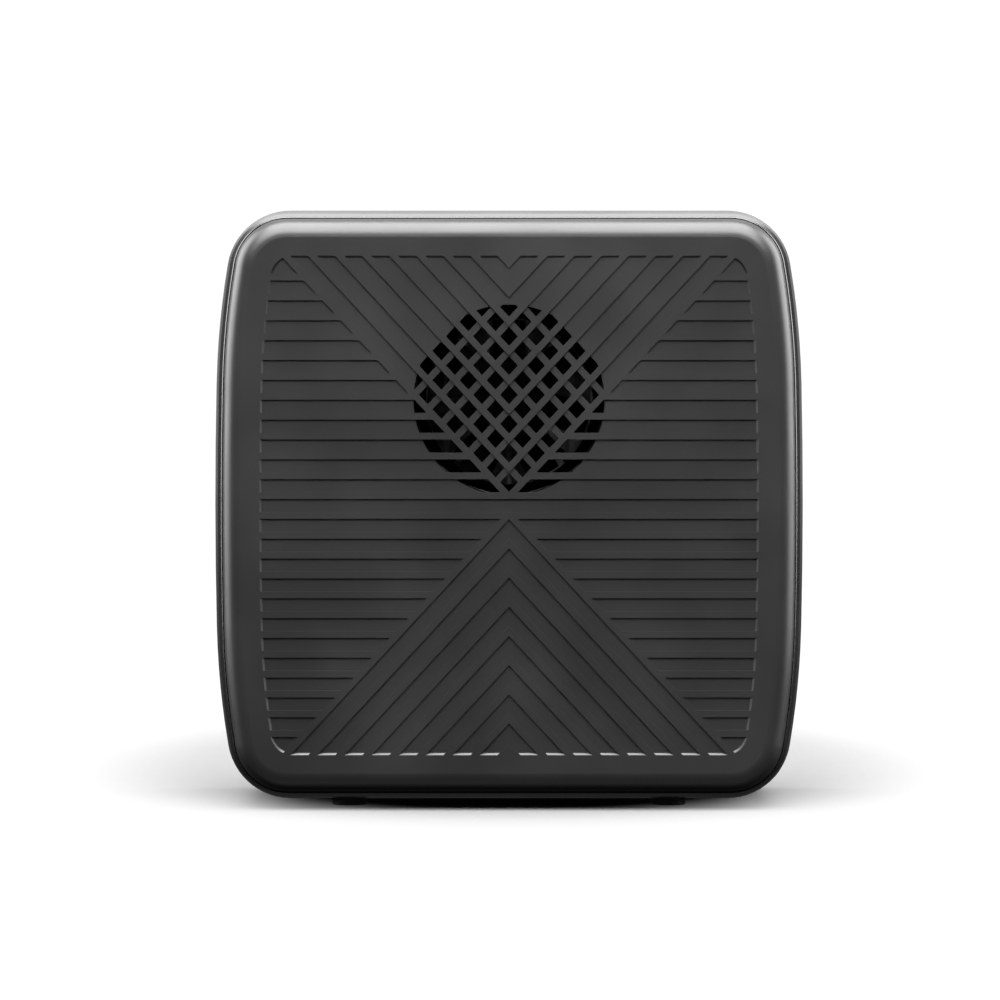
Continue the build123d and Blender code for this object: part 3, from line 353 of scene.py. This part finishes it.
node_slots = {part["node"]: part["material_slot"] for part in frame["record"]["subparts"]}
for name, obj in nodes.items():
    for slot in obj.material_slots:
        slot.material = slot_materials[node_slots[name]]
polished_body = moulded("polished_body", CHARCOAL, 0.27, grain=0.16, depth=1.5, edge=0)
for slot in nodes["main_housing"].material_slots:
    slot.material = polished_body


# ================================================================ printed marks and small parts

panel_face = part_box("port_panel")[1].y
button_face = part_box("power_button")[1].y
label_low, label_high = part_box("label_plate")
board_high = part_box("main_board")[1]

PRINT_GAP = 0.005           # mm between a printed mark and the face under it
PRINT_THICK = 0.03
LINE = 0.28                 # line width of the symbols, mm
LABEL_MARGIN = 1.2          # from the label's edge to its printed border, mm


def arc(radius, start, end, centre=(0, 0), flatten=1.0, steps=28):
    """Points of an arc between two angles in degrees; flatten squeezes it sideways."""
    points = []
    for step in range(steps + 1):
        angle = math.radians(start + (end - start) * step / steps)
        points.append((centre[0] + radius * flatten * math.cos(angle), centre[1] + radius * math.sin(angle)))
    return points


def rectangle(half_w, half_h, centre=(0, 0)):
    """Closed outline of a rectangle, anticlockwise from its lower left corner."""
    corners = [(-1, -1), (1, -1), (1, 1), (-1, 1), (-1, -1)]
    return [(centre[0] + x * half_w, centre[1] + z * half_h) for x, z in corners]


def printed(name, strokes, centre_x, face, centre_z, body, line=LINE):
    """Thin printed lines on a face that looks to the back; strokes are lists of points in mm."""
    mesh = bpy.data.meshes.new(name)
    builder = bmesh.new()
    for points in strokes:
        rows = []
        for index, point in enumerate(points):
            before = points[max(index - 1, 0)]
            after = points[min(index + 1, len(points) - 1)]
            along = (Vector(after) - Vector(before)).normalized()
            across = Vector((-along.y, along.x)) * (line / 2)
            rows.append([
                builder.verts.new((-(point[0] + side * across.x) * MM, 0, (point[1] + side * across.y) * MM))
                for side in (-1, 1)
            ])
        for first, second in zip(rows, rows[1:]):
            builder.faces.new((first[0], first[1], second[1], second[0]))
    bmesh.ops.recalc_face_normals(builder, faces=builder.faces)
    top = bmesh.ops.extrude_face_region(builder, geom=builder.faces[:])["geom"]
    raised = [item for item in top if isinstance(item, bmesh.types.BMVert)]
    bmesh.ops.translate(builder, vec=(0, PRINT_THICK * MM, 0), verts=raised)
    bmesh.ops.recalc_face_normals(builder, faces=builder.faces)
    builder.to_mesh(mesh)
    builder.free()
    mark = bpy.data.objects.new(name, mesh)
    bpy.context.scene.collection.objects.link(mark)
    mark.location = (centre_x, face + PRINT_GAP * MM, centre_z)
    mesh.materials.append(print_ink)
    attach(mark, body)
    return mark


def mark_above(name, strokes, node, gap=1.9):
    """Symbol on the port panel, centred above a node's outline."""
    low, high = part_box(node)
    printed(name, strokes, (low.x + high.x) / 2, panel_face, high.z + gap * MM, "housing")


def make_symbols():
    """Generic symbols of the ports and buttons, and the border and dividers of the blank label."""
    globe = [arc(1.5, 0, 360), arc(1.5, 90, 450, flatten=0.45), [(-1.5, 0), (1.5, 0)]]
    globe += [[(-1.28, height), (1.28, height)] for height in (0.75, -0.75)]
    mark_above("globe_mark", globe, "wan_jack_shell")
    network = [rectangle(0.4, 0.4, centre) for centre in ((0, 1.05), (-1.3, -1.05), (1.3, -1.05))]
    network += [[(0, 0.65), (0, 0)], [(-1.3, -0.65), (-1.3, 0), (1.3, 0), (1.3, -0.65)]]
    mark_above("network_mark_1", network, "lan_jack_1_shell")
    mark_above("network_mark_2", network, "lan_jack_2_shell")
    supply = [arc(0.9, 40, 320), arc(0.3, 0, 360, steps=12), [(0.3, 0), (2.1, 0)]]
    supply += [[(-0.9, 0), (-2.1, 0)], arc(0.55, 0, 360, (-2.65, 0)), arc(0.55, 0, 360, (2.65, 0))]
    supply += [[(-2.95, 0), (-2.35, 0)], [(2.35, 0), (2.95, 0)], [(2.65, -0.3), (2.65, 0.3)]]
    mark_above("supply_mark", supply, "power_inlet")
    pair = [arc(1.2, 20, 160), arc(1.2, 200, 340)]
    pair += [[(-1.65, 0.95), (-1.13, 0.35), (-0.5, 0.8)], [(1.65, -0.95), (1.13, -0.35), (0.5, -0.8)]]
    mark_above("pair_mark", pair, "pair_button", 1.4)
    low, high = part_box("power_button")
    power = [arc(1.7, 125, 415), [(0, 0.5), (0, 2.2)]]
    printed("power_mark", power, (low.x + high.x) / 2, button_face, (low.z + high.z) / 2,
            "power_key", 0.4)

    half_w = (label_high.x - label_low.x) / 2 / MM - LABEL_MARGIN
    half_h = (label_high.z - label_low.z) / 2 / MM - LABEL_MARGIN
    panes = [rectangle(half_w, half_h)]
    panes += [[(x, -half_h), (x, half_h)] for x in (-half_w / 3, half_w / 3)]
    printed("label_lines", panes, (label_low.x + label_high.x) / 2, label_high.y,
            (label_low.z + label_high.z) / 2, "housing", 0.2)


def bevelled_blocks(name, boxes, material, rounding):
    """One object of many small blocks; each box is (centre, size) in metres."""
    mesh = bpy.data.meshes.new(name)
    builder = bmesh.new()
    for centre, size in boxes:
        made = bmesh.ops.create_cube(builder, size=1.0)["verts"]
        bmesh.ops.scale(builder, vec=size, verts=made)
        bmesh.ops.translate(builder, vec=centre, verts=made)
    bmesh.ops.bevel(builder, geom=builder.edges[:], offset=rounding, segments=2, affect="EDGES")
    builder.to_mesh(mesh)
    builder.free()
    piece = bpy.data.objects.new(name, mesh)
    bpy.context.scene.collection.objects.link(piece)
    mesh.materials.append(material)
    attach(piece, "housing")
    return piece


WINDOW_SIZE = Vector((2.4, 0.3, 1.2)) * MM
WINDOW_ASIDE = 5.3 * MM     # from the jack's middle to the middle of a window
WINDOW_DROP = 1.4 * MM      # from the insert's top to the middle of a window
WINDOW_PROUD = 0.16 * MM    # from the insert's face out to the middle of a window

PART_ROWS = (5.5, 8.5, 71.0, 75.0, 79.0)    # rows of small parts below the board's top edge, mm
PART_PITCH = 3.0            # mm from one place to the next along a row
PART_COLUMNS = 12           # places to either side of the middle
PART_SHIFT = 0.5            # mm that a part may stand off its place
PART_GAPS = 0.3             # share of the places left empty


def make_jack_windows():
    """Two small light windows beside the key of each network jack."""
    boxes = []
    for node in ("wan_jack_insert", "lan_jack_1_insert", "lan_jack_2_insert"):
        low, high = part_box(node)
        for side in (-1, 1):
            x = (low.x + high.x) / 2 + side * WINDOW_ASIDE
            boxes.append((Vector((x, high.y + WINDOW_PROUD, high.z - WINDOW_DROP)), WINDOW_SIZE))
    bevelled_blocks("jack_windows", boxes, window_plastic, 0.08 * MM)


def make_small_parts():
    """Rows of small board components, each a body between two tinned ends."""
    shuffle = random.Random(11)
    bodies = []
    ends = []
    for z in [board_high.z - drop * MM for drop in PART_ROWS]:
        for column in range(-PART_COLUMNS, PART_COLUMNS + 1):
            if shuffle.random() < PART_GAPS:
                continue
            x = (column * PART_PITCH + shuffle.uniform(-PART_SHIFT, PART_SHIFT)) * MM
            length = shuffle.choice((1.6, 2.0)) * MM
            width = length / 2
            height = shuffle.choice((0.5, 0.7, 0.9)) * MM
            y = board_high.y + (height / 2 + 0.02 * MM)
            bodies.append((Vector((x, y, z)), Vector((length * 0.56, height, width))))
            for side in (-1, 1):
                cap = Vector((x + side * length * 0.39, y, z))
                ends.append((cap, Vector((length * 0.2, height, width))))
    bevelled_blocks("small_part_bodies", bodies, ceramic, 0.05 * MM)
    bevelled_blocks("small_part_ends", ends, slot_materials["shield_tin"], 0.05 * MM)


print_ink = moulded("print_ink", (0.34, 0.34, 0.345), 0.55, grain=0.1, depth=1.0, edge=0.01, wear=1.05)
window_plastic = moulded(
    "window_plastic", (0.16, 0.24, 0.12), 0.25, grain=0.3, depth=1.0, edge=0.05, coat=0.4,
)
ceramic = moulded("ceramic", (0.22, 0.15, 0.10), 0.5, grain=0.1, depth=3.0, edge=0.04, wear=1.2)
make_symbols()
make_jack_windows()
make_small_parts()


# ================================================================ floor, backdrop, lights, camera


def matt_material(name, level):
    """Grey material without shine, for what stands around the node."""
    material, tree, shader = new_material(name)
    shader.inputs["Base Color"].default_value = (level, level, level, 1)
    shader.inputs["Roughness"].default_value = 0.9
    shader.inputs["Specular IOR Level"].default_value = 0.0
    return material, tree, shader


def make_floor():
    """Floor that fades into the backdrop's white away from the node."""
    mesh = bpy.data.meshes.new("floor")
    corners = [(-1, -1), (1, -1), (1, 1), (-1, 1)]
    mesh.from_pydata([(x * FLOOR_HALF, y * FLOOR_HALF, 0) for x, y in corners], [], [(0, 1, 2, 3)])
    floor = bpy.data.objects.new("floor", mesh)
    bpy.context.scene.collection.objects.link(floor)
    material, tree, shader = matt_material("floor_white", FLOOR_WHITE)
    place = tree.nodes.new("ShaderNodeTexCoord")
    oval = tree.nodes.new("ShaderNodeMapping")
    oval.vector_type = "TEXTURE"
    oval.inputs["Location"].default_value = (0, FADE_CENTRE_Y, 0)
    oval.inputs["Scale"].default_value = (*FADE_HALF, 1)
    reach = tree.nodes.new("ShaderNodeVectorMath")
    reach.operation = "LENGTH"
    fade = tree.nodes.new("ShaderNodeMapRange")
    fade.interpolation_type = "SMOOTHSTEP"
    fade.inputs["From Min"].default_value = FADE_START
    glow = tree.nodes.new("ShaderNodeEmission")
    glow.inputs["Strength"].default_value = BACKDROP_LEVEL
    mixer = tree.nodes.new("ShaderNodeMixShader")
    output = next(node for node in tree.nodes if node.type == "OUTPUT_MATERIAL")
    tree.links.new(place.outputs["Object"], oval.inputs["Vector"])
    tree.links.new(oval.outputs["Vector"], reach.inputs[0])
    tree.links.new(reach.outputs["Value"], fade.inputs["Value"])
    tree.links.new(fade.outputs["Result"], mixer.inputs["Fac"])
    tree.links.new(shader.outputs["BSDF"], mixer.inputs[1])
    tree.links.new(glow.outputs["Emission"], mixer.inputs[2])
    tree.links.new(mixer.outputs["Shader"], output.inputs["Surface"])
    mesh.materials.append(material)
    floor.visible_glossy = False
    floor.visible_diffuse = False


def make_backdrop():
    """White dome that only the camera sees."""
    mesh = bpy.data.meshes.new("backdrop")
    builder = bmesh.new()
    bmesh.ops.create_uvsphere(builder, u_segments=48, v_segments=24, radius=DOME_RADIUS)
    builder.to_mesh(mesh)
    builder.free()
    dome = bpy.data.objects.new("backdrop", mesh)
    bpy.context.scene.collection.objects.link(dome)
    material, _, shader = matt_material("backdrop_white", 0)
    shader.inputs["Emission Color"].default_value = (1, 1, 1, 1)
    shader.inputs["Emission Strength"].default_value = BACKDROP_LEVEL
    mesh.materials.append(material)
    for ray in ("diffuse", "glossy", "transmission", "shadow", "volume_scatter"):
        setattr(dome, "visible_" + ray, False)


def area_light(name, place, aim, width, height, power):
    """Rectangular softbox at place, turned towards aim."""
    data = bpy.data.lights.new(name, "AREA")
    data.shape = "RECTANGLE"
    data.size = width
    data.size_y = height
    data.energy = power
    light = bpy.data.objects.new(name, data)
    bpy.context.scene.collection.objects.link(light)
    light.location = place
    light.rotation_euler = (Vector(aim) - Vector(place)).to_track_quat("-Z", "Y").to_euler()
    light.visible_camera = False
    return light


def make_softboxes():
    """One box overhead, leaning to the front, and one at each side, set back."""
    aim = (0, 0, CENTRE_Z)
    lean = math.radians(TOP_BOX_LEAN)
    top = (0, -BOX_DISTANCE * math.sin(lean), CENTRE_Z + BOX_DISTANCE * math.cos(lean))
    area_light("overhead", top, aim, *TOP_BOX_SIZE, TOP_BOX_POWER)
    back = math.radians(SIDE_BOX_BACK)
    for name, side in (("left_box", -1), ("right_box", 1)):
        height = SIDE_BOX_LOW + SIDE_BOX_SIZE[1] / 2
        place = (side * BOX_DISTANCE * math.cos(back), BOX_DISTANCE * math.sin(back), height)
        area_light(name, place, (0, 0, height), *SIDE_BOX_SIZE, SIDE_BOX_POWER)


def make_world():
    """Sky that is bright behind the node, dim in front and dark low down, lit ground, and two strips."""
    world = bpy.data.worlds.new("studio")
    bpy.context.scene.world = world
    world.use_nodes = True
    tree = world.node_tree
    background = tree.nodes["Background"]
    background.inputs["Color"].default_value = (1, 1, 1, 1)
    place = tree.nodes.new("ShaderNodeTexCoord")
    split = tree.nodes.new("ShaderNodeSeparateXYZ")
    tree.links.new(place.outputs["Generated"], split.inputs["Vector"])
    depth, height = split.outputs["Y"], split.outputs["Z"]
    aside = absolute(tree, split.outputs["X"])

    ramp = tree.nodes.new("ShaderNodeValToRGB")
    tree.links.new(mapped(tree, height, -1, 1), ramp.inputs["Fac"])
    elements = ramp.color_ramp.elements
    for position, level in SKY_LEVELS[1:-1]:
        elements.new(position).color = (level, level, level, 1)
    for element, (_, level) in ((elements[0], SKY_LEVELS[0]), (elements[-1], SKY_LEVELS[-1])):
        element.color = (level, level, level, 1)
    slope = mapped(tree, depth, -1, 1, SKY_FRONT, SKY_BEHIND)
    sky = combined(tree, "MULTIPLY", ramp.outputs["Color"], slope)

    below = mapped(tree, height, *UNDER_HEIGHT, 0, UNDER_LEVEL)
    ground = combined(tree, "MULTIPLY", below, mapped(tree, depth, *UNDER_DEPTH, 1, 0))

    outer = mapped(tree, aside, *STRIP_OUTER, STRIP_LEVEL, 0)
    strips = combined(tree, "MULTIPLY", mapped(tree, aside, *STRIP_INNER), outer)
    strips = combined(tree, "MULTIPLY", strips, mapped(tree, depth, *STRIP_DEPTH))
    strips = combined(tree, "MULTIPLY", strips, mapped(tree, height, *STRIP_HEIGHT))
    light = combined(tree, "ADD", combined(tree, "ADD", sky, ground), strips)
    tree.links.new(light, background.inputs["Strength"])


def make_camera():
    """Camera straight in front, a little above the body's centre, aimed slightly down."""
    data = bpy.data.cameras.new("camera")
    data.sensor_width = SENSOR
    data.lens = SENSOR * VIEW_DISTANCE / VIEW_WIDTH
    data.shift_x = SHIFT_X
    data.shift_y = SHIFT_Y
    data.clip_end = 50
    camera = bpy.data.objects.new("camera", data)
    bpy.context.scene.collection.objects.link(camera)
    camera.location = (0, FRONT_Y - VIEW_DISTANCE, CENTRE_Z + VIEW_RISE)
    camera.rotation_euler = (math.pi / 2 - math.atan(VIEW_RISE / VIEW_DISTANCE), 0, 0)
    bpy.context.scene.camera = camera


make_floor()
make_backdrop()
make_world()
make_camera()
make_softboxes()
bpy.context.scene.view_settings.view_transform = "Standard"
bpy.context.scene.view_settings.look = "None"
